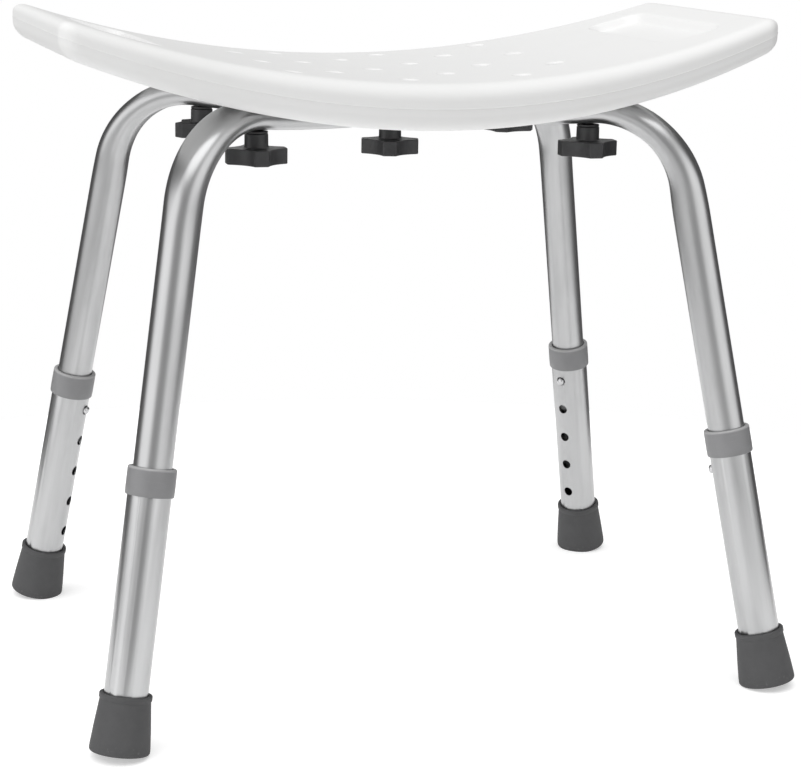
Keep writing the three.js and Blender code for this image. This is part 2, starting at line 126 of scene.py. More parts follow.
# notes where each point is before the piece is bent or placed; the finishes follow it
def keepLayout(bm):
    layout = bm.verts.layers.float_vector.get("layout") or bm.verts.layers.float_vector.new("layout")
    for vert in bm.verts:
        vert[layout] = vert.co * mm


def makePiece(name, bm, finish, body, standsFor, place=None, smoothAngle=35):
    if place is not None:
        bmesh.ops.transform(bm, matrix=place, verts=bm.verts)
    bmesh.ops.scale(bm, vec=(mm, mm, mm), verts=bm.verts)
    piece = looseObject(bm, name)
    piece.data.materials.append(finish)
    piece.data.shade_smooth()
    piece.data.set_sharp_from_angle(angle=math.radians(smoothAngle))
    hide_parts(*standsFor)
    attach(piece, body)
    return piece


# keeps broad flat faces flat beside rounded edges
def evenShading(piece):
    flatter = piece.modifiers.new("evenShading", "WEIGHTED_NORMAL")
    flatter.keep_sharp = True


# ---- places ----

# the frame of a leg, in millimetres: Z up the leg from the middle of its base, X towards the stool's middle
legSizes = {"tubeLow": 10.1, "tubeTop": 182.4}

def legPlace(corner):
    upLeg = Vector(joints[f"leg_{corner}_slide"]["axis"]).normalized()
    inward = -Vector(joints[f"button_{corner}_press"]["axis"]).normalized()
    low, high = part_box(f"leg_tube_{corner}")
    middle = (low + high) / 2 / mm
    base = middle - upLeg * (legSizes["tubeLow"] + legSizes["tubeTop"]) / 2
    columns = [inward, upLeg.cross(inward).normalized(), upLeg, base]
    place = Matrix.Identity(4)
    for index, column in enumerate(columns):
        for row in range(3):
            place[row][index] = column[row]
    return place


legPlaces = {corner: legPlace(corner) for corner in cornerNames}


# ---- finishes ----

# a value in a shader: sums and products of these add Math nodes
class Value:
    def __init__(self, finish, socket):
        self.finish = finish
        self.socket = socket

    def maths(self, operation, first, second):
        made = self.finish.node("ShaderNodeMath", {"operation": operation}, {0: first, 1: second})
        return Value(self.finish, made.outputs[0])

    def __add__(self, other):
        return self.maths("ADD", self, other)

    def __radd__(self, other):
        return self.maths("ADD", other, self)

    def __sub__(self, other):
        return self.maths("SUBTRACT", self, other)

    def __rsub__(self, other):
        return self.maths("SUBTRACT", other, self)

    def __mul__(self, other):
        return self.maths("MULTIPLY", self, other)

    def __rmul__(self, other):
        return self.maths("MULTIPLY", other, self)


class Shading:
    def __init__(self, owner):
        owner.use_nodes = True
        self.tree = owner.node_tree
        self.tree.nodes.clear()

    # any node: its type, its settings, then the values or links of its sockets
    def node(self, kind, settings, sockets):
        made = self.tree.nodes.new(kind)
        for setting, value in settings.items():
            setattr(made, setting, value)
        for name, value in sockets.items():
            self.feed(made.inputs[name], value)
        return made

    def feed(self, socket, value):
        if isinstance(value, Value):
            value = value.socket
        if isinstance(value, bpy.types.NodeSocket):
            self.tree.links.new(value, socket)
        else:
            socket.default_value = value

    # 0 below low, 1 above high
    def step(self, value, low, high, to=(0.0, 1.0)):
        sockets = {"Value": value, "From Min": low, "From Max": high, "To Min": to[0], "To Max": to[1]}
        made = self.node("ShaderNodeMapRange", {"interpolation_type": "SMOOTHSTEP"}, sockets)
        return Value(self, made.outputs[0])

    def parts(self, vector):
        made = self.node("ShaderNodeSeparateXYZ", {}, {0: vector})
        return [Value(self, made.outputs[index]) for index in range(3)]


class Finish(Shading):
    def __init__(self, name, metallic=0.0, **fixed):
        self.material = bpy.data.materials.new(name)
        super().__init__(self.material)
        self.shader = self.node("ShaderNodeBsdfPrincipled", {}, {"Metallic": metallic, **fixed})
        self.node("ShaderNodeOutputMaterial", {}, {"Surface": self.shader.outputs[0]})

    # where a point lies on the piece before bending and placing, or in the object's own space
    def layout(self):
        return self.node("ShaderNodeAttribute", {"attribute_name": "layout"}, {}).outputs["Vector"]

    def objectSpace(self):
        return self.node("ShaderNodeTexCoord", {}, {}).outputs["Object"]

    def stretched(self, vector, scale):
        return self.node("ShaderNodeMapping", {}, {"Vector": vector, "Scale": scale}).outputs[0]

    def noise(self, vector, scale, detail=3.0, roughness=0.55, distortion=0.0):
        made = self.node("ShaderNodeTexNoise", {}, {"Vector": vector, "Scale": scale, "Detail": detail,
                                                    "Roughness": roughness, "Distortion": distortion})
        return Value(self, made.outputs[0])

    def cells(self, vector, scale):
        made = self.node("ShaderNodeTexVoronoi", {"feature": "F1"}, {"Vector": vector, "Scale": scale})
        return Value(self, made.outputs["Distance"])

    def blend(self, factor, first, second):
        made = self.node("ShaderNodeMix", {"data_type": "RGBA"}, {})
        self.feed(made.inputs[0], factor)
        for index, shade in ((6, first), (7, second)):
            self.feed(made.inputs[index], (*shade, 1.0) if isinstance(shade, tuple) else shade)
        return made.outputs[2]

    def bump(self, height, strength, distance, under=None):
        sockets = {"Height": height, "Strength": strength, "Distance": distance}
        if under is not None:
            sockets["Normal"] = under
        return self.node("ShaderNodeBump", {}, sockets).outputs[0]

    def surface(self, colour, roughness, normal):
        self.feed(self.shader.inputs["Base Color"], colour)
        self.feed(self.shader.inputs["Roughness"], roughness)
        self.feed(self.shader.inputs["Normal"], normal)
        return self.material


whitePlastic = {"shade": (0.79, 0.79, 0.786), "tired": (0.72, 0.72, 0.71), "roughness": 0.47, "shine": 0.35}

def whitePlasticFinish():
    finish = Finish("whiteMouldedPlastic", 0.0, **{"Specular IOR Level": whitePlastic["shine"]})
    space = finish.objectSpace()
    clouds = finish.noise(space, 9.0, 4.0)
    flow = finish.noise(finish.stretched(space, (6.0, 40.0, 6.0)), 1.0, 3.0)
    grain = finish.noise(space, 1500.0, 2.0)
    pebbles = finish.cells(space, 900.0)
    streaks = finish.noise(finish.stretched(space, (30.0, 260.0, 30.0)), 1.0, 5.0, 0.7, 1.5)
    scuffs = finish.step(streaks, 0.66, 0.74)
    tired = finish.step(clouds, 0.45, 0.8) * 0.35 + scuffs * 0.18
    colour = finish.blend(tired, whitePlastic["shade"], whitePlastic["tired"])
    roughness = whitePlastic["roughness"] + clouds * 0.12 + scuffs * 0.1
    waves = finish.bump(clouds + flow * 0.6, 0.35, 0.0012)
    fine = finish.bump(grain * 0.5 + pebbles * 0.5, 0.18, 0.00012, waves)
    return finish.surface(colour, roughness, fine)


aluminium = {"shade": (0.50, 0.502, 0.505), "dull": (0.37, 0.372, 0.375), "roughness": 0.23}

def aluminiumFinish():
    finish = Finish("satinAluminium", 1.0)
    layout = finish.layout()
    lines = finish.noise(finish.stretched(layout, (2600.0, 2600.0, 9.0)), 1.0, 3.0, 0.6)
    fineLines = finish.noise(finish.stretched(layout, (7000.0, 7000.0, 26.0)), 1.0, 2.0)
    clouds = finish.noise(finish.stretched(layout, (60.0, 60.0, 14.0)), 1.0, 3.0)
    marks = finish.noise(finish.stretched(layout, (420.0, 420.0, 90.0)), 1.0, 6.0, 0.75, 2.0)
    scratches = finish.step(marks, 0.67, 0.75)
    dull = finish.step(clouds, 0.4, 0.75) * 0.4 + lines * 0.3 + scratches * 0.25
    colour = finish.blend(dull, aluminium["shade"], aluminium["dull"])
    roughness = aluminium["roughness"] + lines * 0.1 + clouds * 0.08 + scratches * 0.08
    normal = finish.bump(lines * 0.6 + fineLines * 0.4, 0.25, 0.00006)
    return finish.surface(colour, roughness, normal)


# the pale rim colour and the height it starts from make a painted highlight: the collar's top rim is painted
# paler, as if its rounded lip caught the light
collarPlastic = {"shade": (0.18, 0.18, 0.184), "pale": (0.27, 0.27, 0.275), "rimHighlightShade": (0.48, 0.48, 0.48),
                 "rimHighlightFrom": 0.1837, "roughness": 0.4}

def collarFinish():
    finish = Finish("greyCollarPlastic")
    layout = finish.layout()
    clouds = finish.noise(layout, 90.0, 4.0)
    grain = finish.noise(layout, 2400.0, 2.0)
    rubs = finish.step(finish.noise(finish.stretched(layout, (60.0, 60.0, 700.0)), 1.0, 5.0, 0.7), 0.6, 0.72)
    body = finish.blend(clouds * 0.5 + rubs * 0.35, collarPlastic["shade"], collarPlastic["pale"])
    height = finish.parts(layout)[2] + clouds * 0.0006
    # painted highlight: above a set height the top rim is blended to the pale rim colour, as if lit; the rub
    # noise only makes it patchy
    rimHighlightMask = finish.step(height, collarPlastic["rimHighlightFrom"], collarPlastic["rimHighlightFrom"] + 0.0016)
    colour = finish.blend(rimHighlightMask * (0.55 + rubs * 0.3), body, collarPlastic["rimHighlightShade"])
    roughness = collarPlastic["roughness"] + clouds * 0.12 + rubs * 0.08
    return finish.surface(colour, roughness, finish.bump(grain, 0.3, 0.00008))


rubber = {"shade": (0.052, 0.052, 0.054), "dusty": (0.13, 0.13, 0.13), "roughness": 0.62}

def rubberFinish():
    finish = Finish("darkRubber", 0.0, **{"Specular IOR Level": 0.35})
    layout = finish.layout()
    height = finish.parts(layout)[2]
    clouds = finish.noise(layout, 120.0, 5.0, 0.65)
    grain = finish.noise(layout, 1900.0, 3.0)
    scuffs = finish.step(finish.noise(layout, 420.0, 6.0, 0.7), 0.56, 0.7)
    low = finish.step(height, 0.001, 0.012, (1.0, 0.0))
    dust = clouds * 0.35 + low * scuffs * 0.5
    colour = finish.blend(dust, rubber["shade"], rubber["dusty"])
    roughness = rubber["roughness"] + clouds * 0.15 + low * 0.1
    return finish.surface(colour, roughness, finish.bump(grain * 0.6 + scuffs * 0.4, 0.4, 0.00015))


knobPlastic = {"shade": (0.016, 0.016, 0.017), "worn": (0.07, 0.07, 0.072), "roughness": 0.3}

def knobFinish():
    finish = Finish("blackKnobPlastic")
    layout = finish.layout()
    clouds = finish.noise(layout, 160.0, 4.0)
    grain = finish.noise(layout, 2600.0, 2.0)
    rubs = finish.step(finish.noise(layout, 520.0, 6.0, 0.75, 1.0), 0.58, 0.72)
    colour = finish.blend(clouds * 0.45 + rubs * 0.3, knobPlastic["shade"], knobPlastic["worn"])
    roughness = knobPlastic["roughness"] + clouds * 0.14
    return finish.surface(colour, roughness, finish.bump(grain, 0.35, 0.0001))


# bright metal parts; the turned lines run round the piece or across the CAD solid
def metalFinish(name, shade, dark, roughness, coordinates):
    finish = Finish(name, 1.0)
    space = finish.layout() if coordinates == "layout" else finish.objectSpace()
    clouds = finish.noise(space, 260.0, 4.0)
    lines = finish.noise(finish.stretched(space, (90.0, 90.0, 5200.0)), 1.0, 2.0)
    spots = finish.step(finish.noise(space, 900.0, 4.0, 0.7), 0.62, 0.72)
    colour = finish.blend(clouds * 0.4 + spots * 0.4, shade, dark)
    rough = roughness + clouds * 0.12 + spots * 0.15
    return finish.surface(colour, rough, finish.bump(lines, 0.2, 0.00004))


finishes = {
    "seat": whitePlasticFinish(),
    "aluminium": aluminiumFinish(),
    "grey_plastic": collarFinish(),
    "rubber": rubberFinish(),
    "black_plastic": knobFinish(),
    "steel": metalFinish("platedSteel", (0.60, 0.60, 0.61), (0.36, 0.36, 0.36), 0.18, "layout"),
    "steelInside": metalFinish("springSteel", (0.50, 0.50, 0.51), (0.30, 0.29, 0.28), 0.3, "object"),
    "brass": metalFinish("turnedBrass", (0.62, 0.44, 0.17), (0.40, 0.27, 0.10), 0.28, "object"),
}
print("finishes made:", len(finishes))


# ---- frame tubes ----

frameTube = {
    "diameter": 25.4,
    "wall": 1.25,
    "flatThickness": 18.0,  # through the arm and its bend
    "lapThickness": 8.7,  # where the two tubes lie on each other
    "lapBlend": 22.0,
    "bendRadius": 65.0,
    "armSlope": 5.0,  # degrees, where the bend begins
    "roundFrom": 0.5,  # share of the bend after which the section begins to turn round
    "roundOff": 20.0,  # length below the bend over which it goes on turning round
    "shoulder": (167.6, 112.0, 405.2),  # where the lines of arm and leg meet
    "endUpLeg": 130.4,  # its end, measured up the leg
    "sides": 48,
}


def stadiumFlat(thickness):
    return math.pi * (frameTube["diameter"] - thickness) / 2


def stadiumWidth(thickness):
    return thickness + stadiumFlat(thickness)


def smoothed(value, low, high):
    share = min(max((value - low) / (high - low), 0.0), 1.0)
    return share * share * (3 - 2 * share)


def mixed(first, second, share):
    return first + (second - first) * share


def bendOf(corner):
    place = legPlaces[corner]
    down = -place.col[2].xyz
    base = place.col[3].xyz
    x, y, z = frameTube["shoulder"]
    shoulder = Vector((math.copysign(x, base.x), math.copysign(y, base.y), z))
    level = Vector((shoulder.x, shoulder.y, 0)).normalized()
    slope = math.radians(frameTube["armSlope"])
    armEnd = level * math.cos(slope) + Vector((0, 0, math.sin(slope)))
    turn = armEnd.angle(down)
    axis = armEnd.cross(down).normalized()
    start = shoulder - armEnd * (frameTube["bendRadius"] * math.tan(turn / 2))
    reach = math.hypot(start.x, start.y)
    return {"level": level, "armEnd": armEnd, "turn": turn, "axis": axis, "start": start, "reach": reach,
            "sag": math.tan(slope) * reach / 2, "down": down, "base": base}


# stations of half a tube, from the middle of the seat to its end in a leg:
# point, way on, wide side, thickness
def halfPath(corner):
    bend = bendOf(corner)
    side = Vector((0, 0, 1)).cross(bend["level"])
    reach, sag, start = bend["reach"], bend["sag"], bend["start"]
    stations = []
    crossAngle = 2 * math.atan2(frameTube["shoulder"][1], frameTube["shoulder"][0])
    lap = stadiumWidth(frameTube["lapThickness"]) / 2 * (1 + abs(math.cos(crossAngle))) / math.sin(crossAngle)
    blendEnd = lap + frameTube["lapBlend"]
    places = [lap * share / 4 for share in range(5)]
    places += [lap + frameTube["lapBlend"] * share / 10 for share in range(1, 11)]
    places += [blendEnd + (reach - blendEnd) * share / 8 for share in range(1, 8)]
    for far in places:
        height = start.z - sag + sag * (far / reach) ** 2
        out = (bend["level"] + Vector((0, 0, 2 * sag * far / reach ** 2))).normalized()
        thickness = mixed(frameTube["lapThickness"], frameTube["flatThickness"], smoothed(far, lap, blendEnd))
        wide = side.lerp(bend["axis"], far / reach)
        stations.append((bend["level"] * far + Vector((0, 0, height)), out, wide, thickness))
    bendLength = frameTube["bendRadius"] * bend["turn"]
    roundFrom, roundEnd = bendLength * frameTube["roundFrom"], bendLength + frameTube["roundOff"]

    def thicknessAt(along):
        return mixed(frameTube["flatThickness"], frameTube["diameter"], smoothed(along, roundFrom, roundEnd))

    centre = start + bend["axis"].cross(bend["armEnd"]) * frameTube["bendRadius"]
    for step in range(25):
        swing = Matrix.Rotation(bend["turn"] * step / 24, 3, bend["axis"])
        stations.append((centre + swing @ (start - centre), swing @ bend["armEnd"], bend["axis"],
                         thicknessAt(bendLength * step / 24)))
    bendEnd = stations[-1][0]
    for step in range(1, 9):
        below = frameTube["roundOff"] * step / 8
        stations.append((bendEnd + bend["down"] * below, bend["down"], bend["axis"],
                         thicknessAt(bendLength + below)))
    legStart = stations[-1][0]
    tubeEnd = bend["base"] - bend["down"] * frameTube["endUpLeg"]
    for step in range(1, 9):
        stations.append((legStart.lerp(tubeEnd, step / 8), bend["down"], bend["axis"], frameTube["diameter"]))
    return stations


def wholePath(corner, layer):
    opposite = cornerNames[(cornerNames.index(corner) + 2) % 4]
    near = [(point, -out, -wide, thickness) for point, out, wide, thickness in reversed(halfPath(corner))]
    stations = []
    for point, out, wide, thickness in near + halfPath(opposite)[1:]:
        lift = Vector((0, 0, layer * max(frameTube["flatThickness"] - thickness, 0) / 2))
        stations.append((point + lift, out, wide, wide.cross(out).normalized(), thickness))
    return stations


# one ring of edges is pulled along the stations; each point keeps its angle round the tube in a layer
def frameTubeMesh(corner, layer):
    stations = wholePath(corner, layer)
    bm = bmesh.new()
    around = bm.verts.layers.float.new("around")
    layout = bm.verts.layers.float_vector.new("layout")
    sides = frameTube["sides"]
    start = Matrix.Rotation(math.pi / sides, 4, "Z")
    ring = bmesh.ops.create_circle(bm, cap_ends=False, radius=1.0, segments=sides, matrix=start)["verts"]
    for vert in ring:
        vert[around] = math.atan2(vert.co.y, vert.co.x)
    edges = list(bm.edges)
    travelled = 0.0
    for index, (point, _, wide, thin, thickness) in enumerate(stations):
        if index:
            travelled += (point - stations[index - 1][0]).length
            made = bmesh.ops.extrude_edge_only(bm, edges=edges)["geom"]
            ring = vertsOf(made)
            edges = [item for item in made if isinstance(item, bmesh.types.BMEdge)
                     and all(end in ring for end in item.verts)]
        for vert in ring:
            angle = vert[around]
            across = thickness / 2 * math.cos(angle)
            across += math.copysign(stadiumFlat(thickness) / 2, math.cos(angle))
            through = thickness / 2 * math.sin(angle)
            vert.co = point + wide * across + thin * through
            radius = frameTube["diameter"] / 2
            vert[layout] = Vector((radius * math.cos(angle), radius * math.sin(angle), travelled)) * mm
    bmesh.ops.recalc_face_normals(bm, faces=bm.faces)
    return bm


for layer, corner, node in ((1, "front_left", "frame_tube_upper"), (-1, "front_right", "frame_tube_lower")):
    tube = makePiece(f"{node}_skin", frameTubeMesh(corner, layer), finishes["aluminium"], "frame",
                     [node])
    wall = tube.modifiers.new("wall", "SOLIDIFY")
    wall.thickness = frameTube["wall"] * mm
    wall.offset = -1
print("frame tubes bent")


# ---- seat ----

seat = {
    "length": 502.0,
    "endWidth": 212.0,
    "middleWidth": 280.0,
    "thickness": 31.0,
    "endThickness": 23.7,
    "endRise": 41.6,
    "edgeRadius": 11.0,
    "edgeSegments": 8,
    "partingRidge": 0.35,
    "underside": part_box("seat")[0].z / mm,
    "drainRadius": 5.0,
    "drainFlare": 2.6,
    "drainPitch": 40.0,
    "gripInset": 51.0,
    "gripLength": 150.0,
    "gripWidth": 46.0,
    "gripDepth": 6.0,
    "gripCorner": 14.0,
    "gripWall": 6.5,  # how wide its sloping side is
    "blowHole": (0.0, 62.0, 3.0),  # x, y, radius
    "grooveRound": 1.6,
    "grooveGap": 0.3,  # above a tube
    "grooveSideGap": 0.5,  # on either side of it
}


def seatTop(x):
    return seat["underside"] + seat["thickness"] + seat["endRise"] * (2 * x / seat["length"]) ** 2


# how far inside the grip's outline a point of the top lies
def gripInside(x, y):
    centre = seat["length"] / 2 - seat["gripInset"]
    dx = abs(abs(x) - centre) - seat["gripWidth"] / 2 + seat["gripCorner"]
    dy = abs(y) - seat["gripLength"] / 2 + seat["gripCorner"]
    outside = math.hypot(max(dx, 0), max(dy, 0)) + min(max(dx, dy), 0)
    return seat["gripCorner"] - outside


# where the blank is cut so that it can bend, closer together at the sides of the grips
def seatCuts():
    halfLength, halfWidth = seat["length"] / 2, seat["endWidth"] / 2
    along = [step * 6.0 for step in range(-39, 40)]
    across = [step * 6.0 for step in range(-17, 18)]
    centre = halfLength - seat["gripInset"]
    gripEnd = seat["gripLength"] / 2 * seat["endWidth"] / seat["middleWidth"]
    for step in range(-2, 15):
        far = step * 1.1
        inner = centre - seat["gripWidth"] / 2 + far
        outer = centre + seat["gripWidth"] / 2 - far
        along += [inner, -inner, outer, -outer]
        across += [gripEnd + 10 - far, -gripEnd - 10 + far]
    limitX, limitY = halfLength - seat["edgeRadius"], halfWidth - seat["edgeRadius"]
    planes = [((x, 0, 0), (1, 0, 0)) for x in along if abs(x) < limitX - 0.3]
    planes += [((0, y, 0), (0, 1, 0)) for y in across if abs(y) < limitY - 0.3]
    planes += [((0, 0, z), (0, 0, 1)) for z in (-0.8, 0, 0.8)]
    return planes


def seatBlank():
    bm = bmesh.new()
    bmesh.ops.create_cube(bm, size=1.0)
    bmesh.ops.scale(bm, vec=(seat["length"], seat["endWidth"], seat["thickness"]), verts=bm.verts)
    bmesh.ops.bevel(bm, geom=bm.edges[:], offset=seat["edgeRadius"], segments=seat["edgeSegments"],
                    profile=0.5, affect="EDGES", material=-1)
    for point, normal in seatCuts():
        bmesh.ops.bisect_plane(bm, geom=bm.verts[:] + bm.edges[:] + bm.faces[:], dist=0.0001,
                               plane_co=point, plane_no=normal)
    halfThickness = seat["thickness"] / 2
    for vert in bm.verts:
        x, y, z = vert.co
        if abs(z) < 0.01:  # the line where the mould's halves met
            away = Vector((vert.normal.x, vert.normal.y, 0))
            if away.length > 0.5:
                x, y = (vert.co + away.normalized() * seat["partingRidge"]).xy
        share = min((2 * x / seat["length"]) ** 2, 1.01)
        thickness = mixed(seat["thickness"], seat["endThickness"], share)
        width = mixed(seat["middleWidth"], seat["endWidth"], share)
        y *= width / seat["endWidth"]
        depth = (0.5 - z / seat["thickness"]) * thickness
        if z > halfThickness - 0.01:
            depth += seat["gripDepth"] * smoothed(gripInside(x, y), 0, seat["gripWall"])
        vert.co = (x, y, seatTop(x) - depth)
    return bm


def drainTool(x, y):
    radius, flare = seat["drainRadius"], seat["drainFlare"]
    below = -2 * seat["thickness"]
    profile = [(0, below), (radius, below), (radius, -flare)]
    for step in range(1, 6):
        angle = math.radians(15 * step)
        profile.append((radius + flare * (1 - math.cos(angle)), -flare + flare * math.sin(angle)))
    above = 4
    profile += [(profile[-1][0] + above, above), (0, above)]
    tool = turned(profile, 32)
    slope = math.atan(8 * seat["endRise"] * x / seat["length"] ** 2)
    top = Matrix.Translation((x, y, seatTop(x))) @ Matrix.Rotation(-slope, 4, "Y")
    bmesh.ops.transform(tool, matrix=top, verts=tool.verts)
    return tool


# an upside-down channel that follows the top of one frame tube
def grooveTool(corner):
    lift = frameTube["flatThickness"] / 2 + seat["grooveGap"]
    floor = seat["underside"] - 30
    profile = []
    for point, out, _, _ in halfPath(corner):
        at = Vector((math.hypot(point.x, point.y) - out.z * lift, point.z + math.hypot(out.x, out.y) * lift))
        if at.y > floor and (not profile or at.x > profile[-1].x + 1):
            profile.append(at)
    profile.append(Vector((profile[-1].x, floor)))
    outline = [(-at.x, at.y) for at in reversed(profile)] + [(at.x, at.y) for at in profile[1:]]
    width = stadiumWidth(frameTube["lapThickness"]) + 2 * seat["grooveSideGap"]
    tool = bmesh.new()
    face = tool.faces.new([tool.verts.new((x, -width / 2, z)) for x, z in outline])
    pulled = vertsOf(bmesh.ops.extrude_face_region(tool, geom=[face])["geom"])
    bmesh.ops.translate(tool, vec=(0, width, 0), verts=pulled)
    bmesh.ops.recalc_face_normals(tool, faces=tool.faces)
    underside = seat["underside"]
    soften(tool, seat["grooveRound"], 3, 60, lambda edge: all(vert.co.z > underside for vert in edge.verts))
    heading = bendOf(corner)["level"]
    bmesh.ops.rotate(tool, cent=(0, 0, 0), matrix=Matrix.Rotation(math.atan2(heading.y, heading.x), 3, "Z"),
                     verts=tool.verts)
    return tool


def seatMesh():
    bm = seatBlank()
    bm = carved(bm, grooveTool("front_left"))
    bm = carved(bm, grooveTool("front_right"))
    places = [(column * seat["drainPitch"] / 2, row * seat["drainPitch"] / 2)
              for column in range(-5, 6, 2) for row in range(-5, 6, 2) if (row - column) // 2 % 2 == 0]
    holeX, holeY, holeRadius = seat["blowHole"]
    blowHole = turned([(0, -12), (holeRadius, -12), (holeRadius, 12), (0, 12)], 24)
    bmesh.ops.translate(blowHole, vec=(holeX, holeY, seat["underside"]), verts=blowHole.verts)
    bm = carved(bm, joined([drainTool(x, y) for x, y in places] + [blowHole]))
    keepLayout(bm)
    return bm


seatPiece = makePiece("seat_skin", seatMesh(), finishes["seat"], "frame", ["seat"], None, 40)
evenShading(seatPiece)
print("seat moulded:", len(seatPiece.data.polygons), "faces")


# ---- legs ----

legTube = {
    "outside": 14.3,
    "inside": 13.05,
    "topHole": 157.0,
    "holePitch": 25.4,
    "holeCount": 5,
    "holeRadius": 3.75,
    "rimSoftness": 0.35,
}


# turns what points up so that it points towards the stool's middle, at some height up the leg
def facingIn(height):
    return Matrix.Translation((0, 0, height)) @ Matrix.Rotation(math.pi / 2, 4, "Y")


def legTubeMesh():
    low, top = legSizes["tubeLow"], legSizes["tubeTop"]
    outside, inside = legTube["outside"], legTube["inside"]
    bm = turned([(inside, low), (outside, low), (outside, top), (inside, top), (inside, low)], 72)
    holes = []
    for index in range(legTube["holeCount"]):
        hole = turned([(0, 8), (legTube["holeRadius"], 8), (legTube["holeRadius"], 20), (0, 20)], 32)
        height = legTube["topHole"] - index * legTube["holePitch"]
        bmesh.ops.transform(hole, matrix=facingIn(height), verts=hole.verts)
        holes.append(hole)
    bm = carved(bm, joined(holes))
    soften(bm, legTube["rimSoftness"], 2, 50)
    keepLayout(bm)
    return bm


collar = {"low": 167.0, "top": 185.4, "outside": 16.0, "grip": 14.6, "mouth": 13.0, "lipLow": 182.7,
          "rimRound": 1.1, "footRound": 0.5, "draft": 0.15}

def collarMesh():
    low, top, outside = collar["low"], collar["top"], collar["outside"]
    grip, mouth, lipLow = collar["grip"], collar["mouth"], collar["lipLow"]
    draft = collar["draft"]
    profile = [(grip, low), (outside - draft, low), (outside, low + 5), (outside - draft * 2 / 3, top),
               (mouth + 0.4, top), (mouth, top - 0.7), (mouth, lipLow), (grip, lipLow), (grip, low)]
    bm = turned(profile, 72)

    def onRim(edge):
        return all(vert.co.z > top - 0.1 and vert.co.xy.length > outside - 1 for vert in edge.verts)

    soften(bm, collar["rimRound"], 4, 50, onRim)
    soften(bm, collar["footRound"], 3, 50, lambda edge: all(vert.co.z < low + 0.1 for vert in edge.verts))
    keepLayout(bm)
    return bm


rubberTip = {"height": 38.4, "base": 19.75, "bore": 14.5, "floor": 8.0, "rim": 17.2, "rimHeight": 3.2,
             "ringDepth": 1.2, "softness": 1.6, "rimSoftness": 0.75, "ringSoftness": 0.3}

def rubberTipMesh(place):
    top, base, rim = rubberTip["height"], rubberTip["base"], rubberTip["rim"]
    under = rubberTip["ringDepth"]
    profile = [(0, under), (3.0, under), (3.6, 0), (7.0, 0), (7.6, under), (9.6, under), (10.2, 0), (13.0, 0),
               (13.6, under), (15.4, under), (16.0, 0), (base, 0)]
    bore, floorLevel, rimLow = rubberTip["bore"], rubberTip["floor"], top - rubberTip["rimHeight"]
    profile += [(base - 0.1, 4.0), (mixed(base, rim, 0.45), 16.0), (rim - 0.55, rimLow - 0.8), (rim, rimLow),
                (rim, top), (bore, top), (bore, floorLevel), (0, floorLevel)]
    bm = turned(profile, 72)

    def onFoot(edge):
        return all(vert.co.z < 0.5 and vert.co.xy.length > base - 1 for vert in edge.verts)

    def onRings(edge):
        return all(vert.co.z < under + 0.1 and vert.co.xy.length < 16.5 for vert in edge.verts)

    soften(bm, rubberTip["softness"], 4, 50, onFoot)
    soften(bm, rubberTip["rimSoftness"], 3, 50,
           lambda edge: all(vert.co.z > top - 0.3 for vert in edge.verts))
    soften(bm, rubberTip["ringSoftness"], 2, 30, onRings)
    keepLayout(bm)
    floorNormal = place.to_3x3().inverted() @ Vector((0, 0, 1))
    floorPoint = place.inverted() @ Vector((0, 0, 0))
    cut = bmesh.ops.bisect_plane(bm, geom=bm.verts[:] + bm.edges[:] + bm.faces[:], dist=0.0001,
                                 plane_co=floorPoint, plane_no=floorNormal, clear_inner=True)
    rimEdges = [item for item in cut["geom_cut"] if isinstance(item, bmesh.types.BMEdge)]
    bmesh.ops.holes_fill(bm, edges=rimEdges, sides=0)
    return bm


snapButton = {"radius": 3.0, "end": 16.9, "dome": 1.7, "flange": 4.4, "flangeTop": 10.18,
              "flangeThickness": 1.0}

def snapButtonMesh():
    radius, end = snapButton["radius"], snapButton["end"]
    flange, flangeTop = snapButton["flange"], snapButton["flangeTop"]
    flangeLow = flangeTop - snapButton["flangeThickness"]
    profile = [(0, flangeLow), (flange, flangeLow), (flange, flangeTop), (radius, flangeTop)]
    for step in range(9):
        angle = math.pi / 2 * step / 8
        profile.append((radius * math.cos(angle), end - snapButton["dome"] * (1 - math.sin(angle))))
    bm = turned(profile, 32)
    keepLayout(bm)
    bmesh.ops.transform(bm, matrix=facingIn(legTube["topHole"]), verts=bm.verts)
    return bm


for corner in cornerNames:
    place = legPlaces[corner]
    body = f"leg_{corner}"
    makePiece(f"leg_tube_skin_{corner}", legTubeMesh(), finishes["aluminium"], body,
              [f"leg_tube_{corner}"], place)
    makePiece(f"collar_skin_{corner}", collarMesh(), finishes["grey_plastic"], body,
              [f"collar_{corner}"], place)
    makePiece(f"rubber_tip_skin_{corner}", rubberTipMesh(place), finishes["rubber"], body,
              [f"rubber_tip_{corner}"], place)
    makePiece(f"snap_button_skin_{corner}", snapButtonMesh(), finishes["steel"], f"button_{corner}",
              [f"snap_button_{corner}"], place)
print("legs made")


# ---- knobs ----

knob = {"acrossTips": 40.5, "tipWidth": 9.5, "waist": 2.6, "headHeight": 10.5,
        "neckRadius": 7.85, "neckHeight": 9.6,
        "tipBevel": 1.0, "edgeRound": 0.7,
        "hollow": [(0.92, 0), (0.97, 1.2)],  # underneath, two steps: how much smaller, how much deeper
        "neckFoot": 1.6,  # how far the neck spreads where it meets the head
        "turns": {"centre": -18, "front_left": -4, "front_right": -4, "rear_right": -30, "rear_left": 20}}
stud = {"radius": 3.9, "pitch": 1.25, "threadDepth": 0.55, "low": -16.8}
washer = {"radius": 7.7, "bore": 4.4, "thickness": 1.2, "gap": 0.3, "softness": 0.25}
neckTop = -(2 * washer["gap"] + washer["thickness"])


# one quarter of the outline, from one tip's middle to the next: flat tip, side that curves in
def knobQuarter():
    reach, half = knob["acrossTips"] / 2, knob["tipWidth"] / 2
    start, end = Vector((reach, half)), Vector((half, reach))
    middle = (start + end) / 2
    pull = middle * (1 - 2 * knob["waist"] / middle.length)
    points = [Vector((reach, 0)), start]
    for step in range(1, 12):
        share = step / 12
        points.append(start.lerp(pull, share).lerp(pull.lerp(end, share), share))
    return points + [end]


